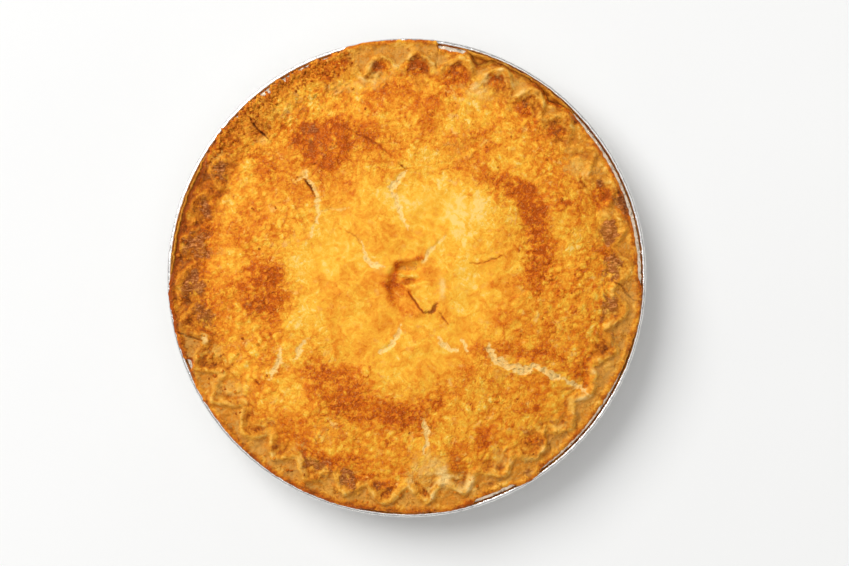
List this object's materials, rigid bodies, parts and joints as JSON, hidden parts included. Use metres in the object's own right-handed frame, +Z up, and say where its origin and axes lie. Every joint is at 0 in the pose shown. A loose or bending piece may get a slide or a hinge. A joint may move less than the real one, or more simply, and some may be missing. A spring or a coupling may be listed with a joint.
{
  "type": "apple pie in a foil pan",
  "caption": "Whole uncut double-crust apple pie with a domed browned lid, a centre steam vent and a zigzag crimped rim, baked in a round foil pan with a rolled rim.",
  "frame": {"origin": "centre of the pan's flat base, on the surface that the pie stands on", "axes": "+Z up, +Y towards the pie's far side as the picture shows it from above, +X to the right"},
  "size_m": [0.2446, 0.2446, 0.0471],
  "materials": {
    "foil": "thin pressed foil, bright, creased along the wall and the rim",
    "bottom_pastry": "baked shortcrust pastry, dry and matt, browner at the rim",
    "top_pastry": "baked shortcrust pastry, golden with browned patches, a faint egg glaze, blisters and cracks"
  },
  "bodies": {
    "root": {"foil_pan": "foil", "bottom_crust": "bottom_pastry", "top_crust": "top_pastry"}
  },
  "joints": []
}
